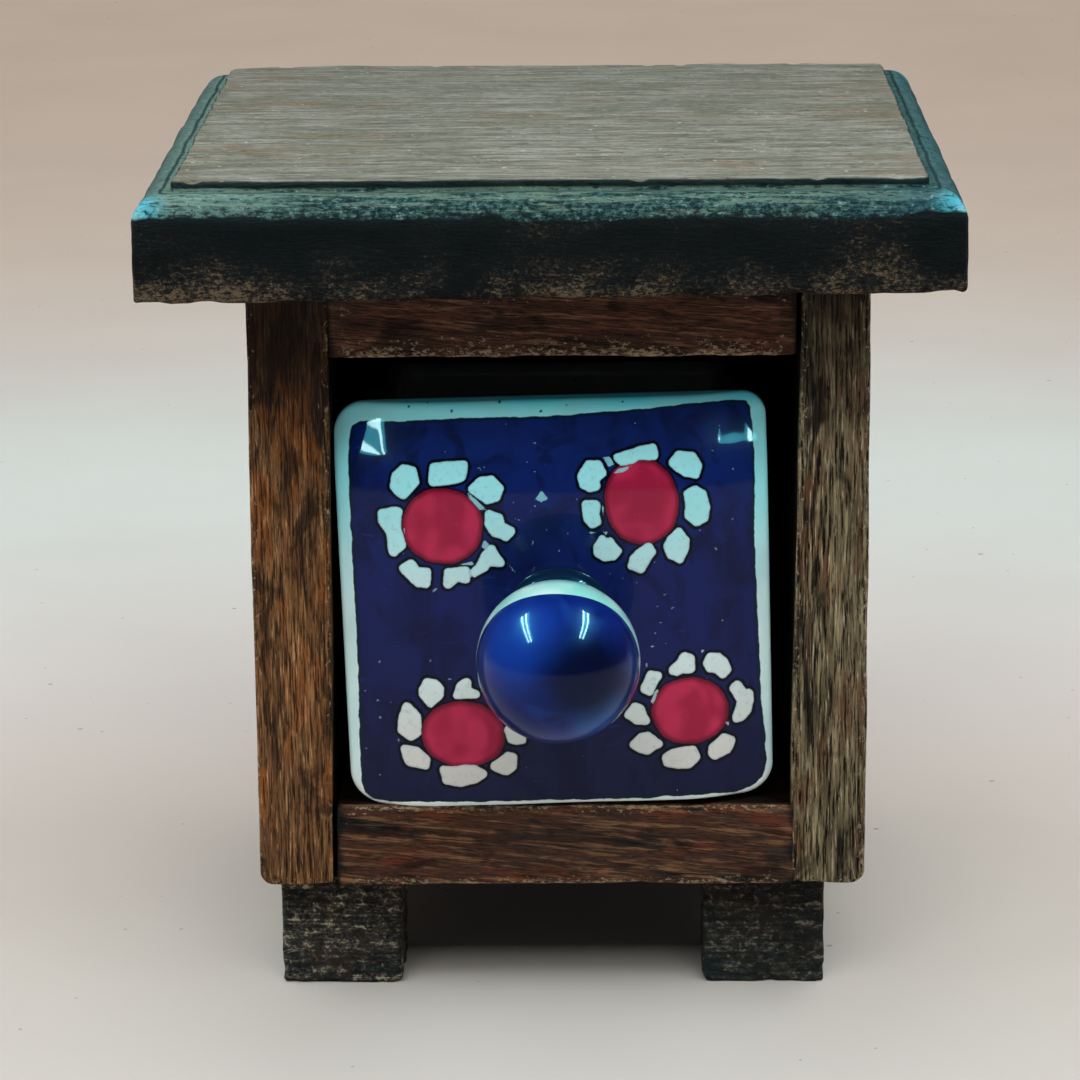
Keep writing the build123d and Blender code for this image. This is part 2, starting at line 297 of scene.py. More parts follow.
def top_board_finish(round_up, ledge_up, step_up, rim_up):
    """Open-grained hardwood under dark stain, almost without gloss. The upright edge is nearly
    black with tan rub marks. The moulding is speckled teal, a painted reflection of cyan light,
    with painted highlights at its front corners and painted shade on the step's face. The middle is
    grey-olive with fine grain along X, its grey partly a painted sheen of overhead light, and it is
    darker towards the back. Fibres and pores are drawn 0.35 mm wide, about five times too coarse,
    to show.
    The ways up the skin, in mm, lead to the quarter round, ledge, step and flat middle."""
    material, tree, shader = new_finish("stained_hardwood_rubbed_back_painted_sheen", Roughness=0.55,
                                        Specular_IOR_Level=0.07)
    p = patterns(tree, {
        "grain": ((11, 0.9, 0.9), 4, 0.65, 0.5), "fibre": ((1.8, 0.34, 0.34), 3, 0.65, 0.3),
        "band": ((30, 9, 9), 3, 0.6, 1.2), "pore": ((1.8, 0.36, 0.36), 2, 0.6, 0.2),
        "speck": ((0.9, 0.62, 0.7), 4, 0.75, 0.3), "patch": ((14, 14, 9), 3, 0.6, 0.6),
        "rub": ((0.6, 0.6, 0.42), 4, 0.75, 0.3), "grit": ((0.8, 0.8, 0.8), 0, 0.5, 0.0)})
    x, y, _ = coordinates(tree)
    ends = maths(tree, "ABSOLUTE", x)
    up, corner = read_marks(tree, "up_mm", "corner_mm")

    # Middle: streaks, short fibres and pores, with rusty patches mostly near the ends, on a
    # grey-olive that is partly painted sheen of overhead light, darker towards the back.
    rusty = maths(tree, "ADD", p["band"], spread(tree, ends, 0.030, 0.056, 0.0, 0.10))
    middle = laid_over(
        tree, "#5f5f52", (p["grain"], 0.36, 0.64, 0.95, "#92938a"),
        (rusty, 0.54, 0.74, 0.55, "#74604a"), (p["patch"], 0.50, 0.68, 0.45, "#5f6654"),
        (p["fibre"], 0.46, 0.33, 0.8, "#3c382e"), (p["fibre"], 0.58, 0.72, 0.5, "#b4b09c"),
        (p["pore"], 0.60, 0.70, 0.8, "#28251e"), (p["grit"], 0.80, 0.86, 0.5, "#dcdacb"),
        (y, -0.03, 0.06, 0.2, "#4a4d47"))

    # Moulding: teal caught in the grain, painted as a reflection of cyan light, paler on the ledge
    # and towards the left, deeper at the right end, dark low on the round.
    ledge = spread(tree, up, round_up + 1.2, round_up + 5.2, -0.06, 0.10)
    ledge = maths(tree, "ADD", ledge, p["grain"])
    low_down = spread(tree, up, round_up, round_up + 3.4, 0.15, -0.05)
    low_down = maths(tree, "SUBTRACT", low_down, p["speck"])
    groove = maths(tree, "ABSOLUTE", maths(tree, "SUBTRACT", up, ledge_up))
    teal = laid_over(
        tree, "#0d2124", (p["speck"], 0.42, 0.60, 0.95, "#3a5d5b"),
        (ledge, 0.50, 0.60, 0.75, "#647d6e"), (x, 0.036, 0.054, 0.6, "#1c4e5a"),
        (x, -0.030, -0.050, 0.4, "#7fa398"), (x, -0.0520, -0.0550, 0.5, "#3b4a4e"),
        # painted highlights: cyan and pale near the front corners, as glints of the lamps
        (corner, 6.0, 1.2, 0.8, "#55c4da"), (p["speck"], 0.58, 0.72, 0.8, "#93b3a4"),
        (p["fibre"], 0.47, 0.36, 0.85, "#0a181a"), (low_down, -0.46, -0.34, 0.85, "#0a1416"),
        (groove, 0.40, 0.12, 0.8, "#0a1c20"), (corner, 2.4, 0.4, 0.6, "#9fe4ee"),
        # painted shade: the step's upright face is dark, as in shadow
        (up, step_up + 0.35, step_up + 0.65, 0.93, "#081214"))

    # Upright edge: near-black stain, rubbed through in fine tan specks low down and at the ends.
    rubbed = spread(tree, up, 0.0, 8.5, 0.15, -0.055)
    for more in (p["rub"], spread(tree, p["patch"], 0.0, 1.0, 0.15, 0.85),
                 spread(tree, ends, 0.030, 0.057, 0.0, 0.05)):
        rubbed = maths(tree, "ADD", rubbed, more)
    upright = laid_over(
        tree, "#060607", (p["patch"], 0.35, 0.62, 0.8, "#0e0e10"),
        (rubbed, 1.04, 1.16, 0.8, "#2c251d"), (rubbed, 1.15, 1.30, 0.8, "#6e5e4b"),
        (p["fibre"], 0.46, 0.36, 0.85, "#060606"))

    # The three meet along wandering lines.
    border = maths(tree, "ADD", up, wandering(tree, p["patch"], -1.6, 0.1))
    colour = laid_over(tree, upright, (border, round_up - 0.25, round_up + 0.25, 1.0, teal),
                       (up, rim_up - 0.45, rim_up - 0.05, 1.0, middle))
    link_up(tree, shader, colour, maths(tree, "ADD", p["rub"], p["fibre"]), 0.8, 0.25)
    return material


points, quads, up, corner, along = top_board_skin()
finish = top_board_finish(along[round_row], along[ledge_row], along[step_row], along[-1])
top = make_piece("moulded_top", points, quads, finish, up_mm=up, corner_mm=corner)
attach(top, "case")
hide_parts("top_board")


# Side boards: two upright boards of the same hardwood, whose front edges show as posts. The
# left one is reddish and the right one greyer and more open-pored. Nails through their
# outer faces hold the two boards between them.
edge_ease, outer_corner_r, corner_reach = 0.45, 2.1, 4.5
lean_z, lean_half = 62, 45       # middle and half of the height over which inner edges lean, in mm


def worn_board(low, high, seed, ease=edge_ease, roundness=None, wear=0.10, step=0.55):
    """A planed board. Each point of a brick goes to where an egg of the easing's size, rolled
    inside it, comes nearest; lumps vary that size along the edges, and the skin is then sunk by
    a hand plane's long hollows. Returns points, quads and each point's way in from an edge."""
    edge_step, edge_margin = 0.22, 3.0               # close grid lines where the easing is
    points, quads = brick_skin(*[lines(a, b, edge_margin, edge_step, step)
                                 for a, b in zip(low, high)])
    grown = np.clip(1 + 0.55 * lumps(points, 3.0, seed), 0.3, 2.4)
    grown += 1.6 * np.maximum(lumps(points, 1.6, seed + 1) - 1.0, 0)
    radii = np.repeat((ease * grown)[:, None], 3, axis=1)
    if roundness is not None:
        radii = np.maximum(radii, roundness(points))
    radii = np.minimum(radii, (high - low) / 2.2)
    gap = np.sort(np.minimum(points - low, high - points), axis=1)
    core = np.clip(points, low + radii, high - radii)
    away = (points - core) / radii
    facing = away / np.linalg.norm(away, axis=1)[:, None]
    sunk = wear * np.maximum(1 + lumps(points * (1, 1, 0.4), 5, seed + 2), 0)
    return core + facing * (radii - sunk[:, None]), quads, gap[:, 1]


def round_corners(*places):
    """Easing for worn_board that rounds, seen from the front, the corners at these x, z places:
    outer_corner_r within corner_reach of one."""
    def roundness(points):
        away = np.min([np.hypot(points[:, 0] - x, points[:, 2] - z) for x, z in places], axis=0)
        return np.where(away[:, None] < corner_reach,
                        (outer_corner_r, edge_ease, outer_corner_r), 0.0)
    return roundness


def stained_wood(name, grain, seed, shades, red, pores, tilt=0.0, worn="#a8967a", wear=1.0,
                 painted_shade_above=0.2):
    """Hardwood rubbed with dark stain and waxed: growth bands, fibres, open pores that hold the
    stain, red and dark patches, and pale specks worn along the edges. Fibres and pores are drawn
    0.3 mm wide, several times too coarse, to show. grain is the axis it runs along, shades go from
    dark to light, and pores are their width and length in mm and how much they show. Above a height
    in metres it is painted near black as shade under the top board's overhang. Where its mark for
    shade and grime is 1 it is painted near black as well. Inside the case this is shade, on wood
    whose stain is also darker there, and along the joints it is grime."""
    material, tree, shader = new_finish(name, Roughness=0.5, Specular_IOR_Level=0.10)
    wide, long, shown = pores
    sizes = {"band": (3.4, 30, 3, 0.6, 0.6), "streak": (0.8, 13, 3, 0.6, 0.4),
             "fibre": (0.30, 4.5, 3, 0.65, 0.15), "pore": (wide, long, 3, 0.6, 0.2),
             "patch": (6.0, 16, 3, 0.6, 0.6), "stain": (5.0, 12, 4, 0.65, 0.6),
             "rub": (0.5, 0.9, 4, 0.75, 0.2)}
    p = patterns(tree, {
        pattern: ([along if axis == grain else across for axis in "XYZ"], *rest)
        for pattern, (across, along, *rest) in sizes.items()}, shift=seed * 31.0,
        turn=(0.0, math.radians(tilt), 0.0))
    edge, hidden = read_marks(tree, "edge_mm", "hidden")
    upwards = maths(tree, "ADD", coordinates(tree)[2], wandering(tree, p["stain"], -0.012, 0.012))
    rubbed = maths(tree, "ADD", spread(tree, edge, 0.0, 2.2, 0.13 * wear, -0.10), p["rub"])
    colour = laid_over(
        tree, shades[0], (p["band"], 0.34, 0.54, 0.95, shades[1]),
        (p["patch"], 0.48, 0.62, 0.8, red), (p["streak"], 0.48, 0.66, 0.7, shades[2]),
        (p["fibre"], 0.56, 0.70, 0.6, shades[3]), (p["stain"], 0.53, 0.66, 0.75, shades[0]),
        (p["fibre"], 0.46, 0.36, 0.75, shades[0]), (p["pore"], 0.53, 0.60, shown, "#0b0705"),
        # painted shade: near black above a height, under the top board's overhang, and inside the
        # case; the last layer also paints grime along the joints
        (upwards, painted_shade_above - 0.016, painted_shade_above + 0.016, 0.88, "#170e0a"),
        (rubbed, 0.60, 0.70, 0.75, worn), (hidden, 0.15, 0.9, 0.92, "#090605"))
    relief = maths(tree, "ADD", spread(tree, p["pore"], 0.50, 0.62, 0.6, 0.0), p["fibre"])
    link_up(tree, shader, colour, relief, 0.9, 0.28)
    return material


material = stained_wood(
    "reddish_stained_hardwood", "Z", 3, ("#26170f", "#724e31", "#a3764a", "#d4ab7c"), "#8f5426",
    (0.26, 5.0, 0.8), worn="#b89c76", wear=0.6, painted_shade_above=0.083)
low, high = corners("left_side")
points, quads, edge = worn_board(low, high, 11, roundness=round_corners((low[0], low[2])))
# sawn by hand: its inner edge leans to the right as it goes up
inwards = np.clip((points[:, 0] - low[0]) / (high[0] - low[0]), 0, 1)
points[:, 0] += 0.42 * ((points[:, 2] - lean_z) / lean_half * inwards) - 0.05
# painted shade on the board's inner face, inside the case
inner = np.clip((points[:, 1] - low[1] - 0.9) / 1.2, 0, 1) * (points[:, 0] > high[0] - 0.9)
left = make_piece("left_side_board", points, quads, material, edge_mm=edge, hidden=inner)
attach(left, "case")
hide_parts("left_side")

material = stained_wood(
    "grey_open_pored_hardwood", "Z", 8, ("#211a13", "#75694f", "#a39574", "#d3c6a8"), "#64442e",
    (0.28, 5.0, 0.97), worn="#b8ac90", wear=0.7, painted_shade_above=0.091)
low, high = corners("right_side")
points, quads, edge = worn_board(low, high, 21, roundness=round_corners((high[0], low[2])))
# its inner edge leans the same way, and its top reaches up to the top board's leaning underside
inwards = np.clip((high[0] - points[:, 0]) / (high[0] - low[0]), 0, 1)
points[:, 0] += (0.7 * (points[:, 2] - lean_z) / lean_half - 0.2) * inwards
points[:, 2] += 0.45 * np.clip((points[:, 2] - 90) / 16, 0, 1)
# painted shade on the board's inner face, inside the case
inner = np.clip((points[:, 1] - low[1] - 0.9) / 1.2, 0, 1) * (points[:, 0] < low[0] + 1.2)
right = make_piece("right_side_board", points, quads, material, edge_mm=edge, hidden=inner)
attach(right, "case")
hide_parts("right_side")


# Bottom board and inner top board: two boards between the sides, nailed through them. Their
# front edges show as the rails under and over the drawer, reddish brown with grain along X,
# grimy at the joints and, on the upper one, rubbed pale further in from its edges.
for node, name, seed, shades, red, painted_shade_above, rub_spread in (
        ("bottom_board", "bottom_rail_board", 5, ("#160c08", "#523224", "#9a704e", "#d6b492"),
         "#6e3824", 0.2, 1.0),
        ("inner_top_board", "top_rail_board", 6, ("#1c110d", "#523429", "#86614c", "#ba9a80"),
         "#633a2a", 0.121, 2.2)):
    material = stained_wood(name + "_hardwood", "X", seed, shades, red, (0.30, 4.5, 0.85), tilt=5.0,
                            worn="#b09b7d", wear=1.15, painted_shade_above=painted_shade_above)
    low, high = corners(node)
    points, quads, edge = worn_board(low, high, 30 + 10 * seed)
    to_joint = np.minimum(points[:, 0] - low[0], high[0] - points[:, 0])
    grime = np.clip(1.1 - to_joint / np.maximum(1.2 + 0.6 * lumps(points, 3, 3 * seed), 0.3), 0, 1)
    # painted shade on everything behind the front edge, inside the case
    inner = np.clip((points[:, 1] - low[1] - 0.8) / 1.0, 0, 1)
    board = make_piece(name, points, quads, material, hidden=np.maximum(grime * 0.9, inner),
                       edge_mm=np.maximum(edge / rub_spread, 3 - to_joint))
    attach(board, "case")
    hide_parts(node)


# Back panel: a thin board pinned over the rear edges of the case, with its grain along X. It
# is stained dark all over and hardly worn.
material = stained_wood(
    "dark_stained_back_board", "X", 14, ("#17100b", "#3a2a1e", "#523e2e", "#6f5741"), "#3f2618",
    (0.3, 5.0, 0.8), wear=0.8)
low, high = corners("back_panel")
points, quads, edge = worn_board(
    low, high, 51, step=0.8, roundness=round_corners((low[0], low[2]), (high[0], low[2])))
back = make_piece("back_board", points, quads, material, edge_mm=edge)
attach(back, "case")
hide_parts("back_panel")


# Feet: four blocks sawn off a square batten, set with their rough end grain to the front and
# nailed up into the bottom board. The stain is nearly black and lumpy.
def foot_finish():
    """Sawn end grain under thick dark stain: torn fibres in lumps 1.7 mm across with pale
    crests, crossed by faint saw lines along X. Its grit is drawn coarse, 0.5 mm, to show."""
    material, tree, shader = new_finish("sawn_end_grain_black_stain", Roughness=0.6,
                                        Specular_IOR_Level=0.2)
    p = patterns(tree, {
        "lump": ((1.7, 1.7, 1.3), 5, 0.75, 0.7), "saw": ((9, 9, 0.55), 3, 0.6, 0.1),
        "patch": ((6, 6, 6), 2, 0.5, 0.3), "grit": ((0.55, 0.55, 0.4), 3, 0.7, 0.0)})
    x = coordinates(tree)[0]
    torn = add(tree, "Mix", {0: 0.30, 2: p["lump"], 3: p["saw"]})
    torn = add(tree, "Mix", {0: 0.25, 2: torn, 3: p["grit"]})
    colour = laid_over(
        tree, "#080808", (torn, 0.44, 0.50, 0.95, "#2b2723"),
        (p["patch"], 0.46, 0.60, 0.5, "#3a281c"), (torn, 0.50, 0.55, 0.9, "#5a5245"),
        (torn, 0.545, 0.60, 0.9, "#b0a690"), (x, -0.012, 0.024, 0.58, "#0b0a09"))
    link_up(tree, shader, colour, torn, 1.0, 1.2)
    return material


block_finish = foot_finish()
for seed, place_name in enumerate(("front_left", "front_right", "back_left", "back_right")):
    low, high = corners("foot_" + place_name)
    points, quads, edge = worn_board(low, high, 70 + 5 * seed, ease=0.55, wear=0.10, step=0.3)
    centre = (low + high) / 2
    rough = 0.10 * np.maximum(lumps(points, 0.9, 90 + seed), 0) \
        + 0.16 * np.maximum(lumps(points, 2.0, 95 + seed), 0)
    chip = 0.9 * np.maximum(lumps(points, 3.2, 99 + seed) - 0.8, 0) * np.clip(1 - edge / 1.5, 0, 1)
    standing = np.clip((points[:, 2] - low[2]) / 0.8, 0, 1)
    points[:, :2] -= np.sign(points[:, :2] - centre[:2]) * np.minimum(
        (rough + chip)[:, None], 1.2) * (np.abs(points[:, :2] - centre[:2])
                                        > (high - low)[:2] / 2 - 1.5)
    points[:, 2] = np.where(standing < 1, points[:, 2] + chip * 0.5, points[:, 2])
    foot = make_piece("block_foot_" + place_name, points, quads, block_finish)
    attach(foot, "case")
    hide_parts("foot_" + place_name)


# Fasteners: plain wire nails and pins, dull and a little brown, and zinc-plated screws inside.
# Their CAD shapes stay.
def fastener_finish(name, dark, light, roughness):
    """Steel with a thin uneven film of rust or stain, patches about 0.8 mm across."""
    material, tree, shader = new_finish(name, Metallic=1.0, Roughness=roughness)
    film = patterns(tree, {"film": ((0.8, 0.8, 0.8), 4, 0.6, 0.0)})["film"]
    link_up(tree, shader, laid_over(tree, dark, (film, 0.35, 0.65, 1.0, light)))
    gloss = wandering(tree, film, roughness - 0.1, roughness + 0.2)
    tree.links.new(gloss, shader.inputs["Roughness"])
    return material


wire = fastener_finish("dull_drawn_wire_steel", "#4a3f36", "#8b857c", 0.45)
zinc = fastener_finish("zinc_plated_steel", "#8d8a84", "#c4c1ba", 0.32)
for node, metal in (("side_nails", wire), ("foot_nails", wire), ("back_pins", wire),
                    ("top_screws", zinc)):
    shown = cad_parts[node]
    if not shown.data.materials:
        shown.data.materials.append(metal)
    for used in shown.material_slots:
        used.material = metal


# Drawer front: a slab of earthenware cut by hand and a little out of square, pillowed, dipped in
# white glaze, then painted with a cobalt ground and four flowers under a clear gloss. It is
# luted to the tub behind it.
pillow_in = (0.0, 3.0, 6.5, 13.5)                # mm in from an edge of the face
fall_side = (0.25, 0.37, 0.37, 0.0)              # how steeply it falls back there: either side,
fall_top = (0.42, 0.52, 0.52, 0.0)               # the top
fall_low = (0.15, 0.05, 0.0, 0.0)                # and the bottom
deepest = 8.0                                    # mm that it falls back at its corners
edge_round, rear_ease, grid_rim = 0.5, 0.8, 1.6
slab_corners = ((-29.5, 28.45), (31.8, 29.65), (-31.5, 87.1), (30.5, 88.5))  # x, z, low left first
slab_corner_r = (5.0, 4.5, 4.5, 3.5)
slab_corner_out = (1.5, 0.2, 0.2, 0.0)           # how far each stands forward of the case
fine_step = 0.30                                 # between grid lines, so that paint stays crisp


def box_mm(x, z, half_x, half_z, corner):
    """Signed distance to a round-cornered rectangle: the length of what sticks out past the
    corner circles' centres, less the corner's radius."""
    out_x, out_z = np.abs(x) - half_x + corner, np.abs(z) - half_z + corner
    return (np.hypot(np.maximum(out_x, 0), np.maximum(out_z, 0))
            + np.minimum(np.maximum(out_x, out_z), 0) - corner)


def slab_skin():
    """A brick rolled round in plan and skewed to the slab's four corners by a blend of them. Its
    face falls back towards each side by a slope added up from the flat middle out, eased off
    towards deepest, and its rim by most of a quarter circle more."""
    low, high = corners("drawer_front")
    half = (high - low) / 2
    rim = grid_rim * (1 - np.cos(np.linspace(0, math.pi / 2, 9)))[:-1]

    def across(h):
        inner = np.linspace(rim[-1] - h + fine_step, h - rim[-1] - fine_step,
                            round(2 * (h - rim[-1]) / fine_step) - 1)
        return np.concatenate([-h + rim, inner, (h - rim)[::-1]])

    points, quads = brick_skin(across(half[0]), np.linspace(0, 1, 8), across(half[2]))
    quarter = (points[:, 0] > 0) + 2 * (points[:, 2] > 0)
    corner_r = np.array(slab_corner_r)[quarter]
    flat = round_plan(points[:, [0, 2]], half[[0, 2]], corner_r[:, None])
    inside = np.maximum(-box_mm(flat[:, 0], flat[:, 1], half[0], half[2], corner_r), 0)
    set_back = np.zeros(len(flat))
    way = np.linspace(0, pillow_in[-1], 301)
    for gap, fall in ((half[0] - np.abs(flat[:, 0]), fall_side),
                      (half[2] - flat[:, 1], fall_top), (half[2] + flat[:, 1], fall_low)):
        depth = np.cumsum(np.interp(way, pillow_in, fall)[::-1])[::-1] * (way[1] - way[0])
        set_back += np.interp(gap, way, depth)
    set_back = set_back / (1 + (set_back / deepest) ** 8) ** (1 / 8)
    s = np.clip(1 - inside / edge_round, 0, 1)
    set_back += 0.8 * edge_round * (1 - np.sqrt(1 - s ** 2))
    s, t = (flat / half[[0, 2]] + 1).T / 2
    weights = np.stack([(1 - s) * (1 - t), s * (1 - t), (1 - s) * t, s * t], 1)
    plan = weights @ np.array(slab_corners)
    # smoothed by hand: hollows 12 mm across, but none round the knob
    away = np.clip(np.hypot(*flat.T) / 20 - 0.6, 0, 1)
    set_back += 0.15 * away * np.maximum(1 + lumps(np.insert(plan, 1, 0, axis=1), 12, 201), 0)
    front = low[1] + set_back - weights @ np.array(slab_corner_out)
    s = np.clip(1 - inside / rear_ease, 0, 1)
    rear = high[1] - rear_ease * (1 - np.sqrt(1 - s ** 2))
    y = front + (np.maximum(rear, front + 0.4) - front) * points[:, 1]
    return np.column_stack([plan[:, 0], y, plan[:, 1]]), quads, points[:, 1] == 0


# The painting was traced as a few points round each patch, in pixels of the photograph, and
# lies on the slab wherever those pixels' rays meet it. A heart is x, y, half width, half
# height and lean in degrees; the painted ground, a petal or a fleck is its outline.
ground = ((350, 431), (352, 425), (360, 421), (400, 421), (460, 418), (550, 416), (610, 411.5),
          (650, 408), (700, 402.5), (725, 399.8), (746, 400), (750, 406), (752.5, 430), (755, 470),
          (754, 530), (756.5, 590), (758.5, 640), (761, 700), (765, 730), (766.5, 760), (763, 777),
          (752, 786), (735, 791.5), (700, 794.5), (640, 798), (560, 799.5), (470, 802),
          (390, 801.5), (375, 798.5), (365, 792), (361, 780), (359.5, 740), (358.5, 680),
          (356, 620), (352.5, 560), (349.5, 500), (348, 460))
hearts = ((442.5, 526, 40.5, 37.5, 10), (641.5, 501.5, 37, 42.5, -9),
          (463.5, 734.5, 41.5, 32.5, 4), (690, 710.5, 38.5, 33, -8))
petals = (
    # upper left flower
    ((391, 473), (403, 464), (416, 467), (420, 484), (403, 500), (390, 489)),
    ((429, 465), (468, 462), (466, 478), (456, 484), (428, 484)),
    ((467, 489), (478, 477), (493, 475), (504, 488), (500, 500), (488, 505), (476, 498)),
    ((486, 511), (499, 513), (506, 525), (515, 533), (509, 541), (493, 538), (484, 521)),
    ((493, 545), (505, 564), (490, 563), (482, 572), (471, 576), (478, 561), (485, 551)),
    ((444, 570), (469, 568), (471, 580), (458, 582), (443, 587)),
    ((399, 566), (408, 559), (418, 567), (432, 572), (430, 587), (420, 588), (404, 575)),
    ((379, 509), (399, 507), (402, 530), (404, 550), (394, 557), (386, 535), (379, 517)),
    # upper right flower
    ((577, 475), (587, 460), (600, 460), (607, 471), (599, 482), (598, 491), (589, 493),
     (580, 488)),
    ((612, 458), (630, 449), (645, 446), (658, 446), (659, 456), (642, 458), (628, 463),
     (617, 463)),
    ((668, 462), (676, 451), (695, 452), (703, 467), (699, 478), (686, 478), (674, 470)),
    ((685, 490), (695, 485), (705, 490), (711, 508), (707, 522), (697, 527), (686, 520),
     (685, 505)),
    ((679, 527), (690, 538), (690, 549), (680, 564), (669, 560), (663, 547), (669, 535)),
    ((651, 542), (656, 549), (650, 563), (640, 574), (629, 569), (628, 560), (636, 549)),
    ((600, 535), (605, 540), (613, 538), (622, 552), (616, 560), (604, 562), (594, 556),
     (593, 545)),
    ((583, 500), (597, 500), (600, 513), (600, 526), (592, 529), (584, 523)),
    # lower left flower, its fourth petal behind the knob
    ((418, 688), (424, 678), (436, 679), (445, 687), (444, 697), (430, 709), (419, 697)),
    ((453, 698), (455, 686), (468, 677), (471, 687), (480, 696), (466, 700)),
    ((400, 711), (407, 702), (421, 713), (420, 737), (412, 741), (398, 733)),
    ((490, 694), (503, 692), (513, 703), (509, 714), (497, 706)),
    ((401, 746), (417, 746), (431, 761), (429, 768), (404, 763)),
    ((439, 769), (479, 767), (488, 773), (480, 780), (459, 787), (442, 781)),
    ((490, 767), (508, 751), (517, 754), (517, 769), (508, 775), (499, 773)),
    ((505, 727), (516, 730), (527, 741), (519, 745), (507, 741)),
    # lower right flower
    ((668, 673), (676, 661), (685, 652), (695, 656), (695, 670), (682, 674), (672, 675)),
    ((702, 664), (708, 653), (719, 652), (729, 661), (732, 671), (726, 678), (712, 672),
     (704, 669)),
    ((731, 684), (737, 680), (745, 689), (752, 689), (754, 700), (750, 713), (741, 722),
     (735, 723), (738, 704)),
    ((708, 748), (726, 733), (735, 738), (732, 751), (712, 760), (709, 757)),
    ((661, 758), (669, 750), (697, 747), (701, 756), (693, 767), (676, 769), (663, 764)),
    ((629, 745), (638, 734), (650, 732), (664, 744), (648, 755), (636, 752)),
    ((624, 715), (633, 702), (644, 705), (649, 724), (637, 725)),
    ((641, 692), (651, 670), (661, 672), (656, 688), (647, 696)))
flecks = (
    ((465, 490), (476, 500), (487, 510), (480, 510), (470, 499)),
    ((484, 540), (489, 545), (486, 550), (482, 547)), ((402, 523), (405, 530), (404, 535)),
    ((460, 565), (472, 562), (473, 566)), ((476, 467), (479, 467), (483, 472)),
    ((432, 592), (436, 588), (438, 589)), ((613, 474), (619, 469), (632, 465), (624, 472)),
    ((603, 458), (609, 457), (614, 464), (609, 467)), ((600, 502), (603, 508), (605, 523)),
    ((603, 532), (608, 532), (607, 536)), ((587, 531), (597, 533), (591, 534)),
    ((650, 701), (656, 688), (658, 691), (652, 704)), ((725, 722), (729, 722), (728, 727)),
    ((534, 500), (541, 491), (548, 498)), ((509, 564), (514, 570), (517, 574), (512, 570)),
    ((535, 499), (548, 498), (541, 502)), ((397, 738), (400, 739), (399, 743)),
    ((700, 650), (704, 650), (702, 653)), ((650, 645), (655, 646), (652, 648)))
iron_specks = ((409, 406, 1.3), (452, 411, 1.5), (500, 402, 1.4), (541, 411, 1.6),
               (567, 405, 1.1), (427, 403, 0.9), (622, 401, 1.0))      # x, y, radius
brush_r = 4.6            # pixels: how round a loaded brush leaves a petal's corners
heart_power = 2.15       # of a heart's outline: an ellipse has 2, and more is squarer
pixel_mm = 1 / 6.85      # how wide a pixel of the photograph is on the slab
unpainted = 3.0          # mm: the distance given where nothing can be painted
mark_names = ("ground_mm", "heart_mm", "petal_mm", "fleck_mm", "speck_mm")


def to_photo(points):
    """Pixel of the 1080 x 1080 photograph under each point in mm: its place along the
    camera's own axes, divided by its depth and multiplied by the focal length."""
    axes = np.array(camera.matrix_world.to_3x3())
    seen = (points - np.array(camera_at)) @ axes
    return frame_pixels / 2 + focal_pixels * seen[:, :2] / -seen[:, 2:] * (1, -1)


def patch_px(at, outline, rounding=0.0):
    """Signed distance in pixels to a closed outline: the least distance to its sides, below 0
    where the outline winds round the point. The outline is first drawn in, and its distance
    then eased by as much, which rounds its corners."""
    outline = np.array(outline, float)
    centre = outline.mean(0)
    arm = outline - centre
    outline = centre + arm * (1 - 1.15 * rounding / np.linalg.norm(arm, axis=1))[:, None]
    nearest, inside = np.full(len(at), 1e9), np.zeros(len(at), bool)
    for a, b in zip(outline, np.roll(outline, -1, axis=0)):
        side, to = b - a, at - a
        along = np.clip(to @ side / (side @ side), 0, 1)
        nearest = np.minimum(nearest, np.hypot(*(to - along[:, None] * side).T))
        crosses = (a[1] > at[:, 1]) != (b[1] > at[:, 1])
        x_there = a[0] + (at[:, 1] - a[1]) * side[0] / (side[1] if side[1] else 1e-9)
        inside ^= crosses & (at[:, 0] < x_there)
    return np.where(inside, -nearest, nearest) - rounding


def paint_marks(points, in_front):
    """Signed distances in mm, below 0 inside, to the painted ground, the hearts, the petals,
    the flecks and the iron specks. Each is taken in the photograph's pixels, where a hand's
    small wavering shifts the points; behind the front face nothing is painted."""
    at = to_photo(points)
    at = at + 0.45 * np.column_stack([lumps(points, 1.7, 301), lumps(points, 1.7, 302)])
    heart = []
    for x, y, half_w, half_h, lean in hearts:
        c, s = math.cos(math.radians(lean)), math.sin(math.radians(lean))
        u = ((at[:, 0] - x) * c + (at[:, 1] - y) * s) / half_w
        v = ((at[:, 1] - y) * c - (at[:, 0] - x) * s) / half_h
        radius = (np.abs(u) ** heart_power + np.abs(v) ** heart_power) ** (1 / heart_power)
        heart.append((radius - 1) * min(half_w, half_h))
    marks = [patch_px(at, ground), np.min(heart, axis=0),
             np.min([patch_px(at, outline, brush_r) for outline in petals], axis=0),
             np.min([patch_px(at, outline) for outline in flecks], axis=0)]
    marks = [np.where(in_front, mark * pixel_mm, unpainted) for mark in marks]
    speck = np.min([np.hypot(*(at - (x, y)).T) - r for x, y, r in iron_specks], axis=0)
    return marks + [np.where(points[:, 2] > 80, speck * pixel_mm, unpainted)]


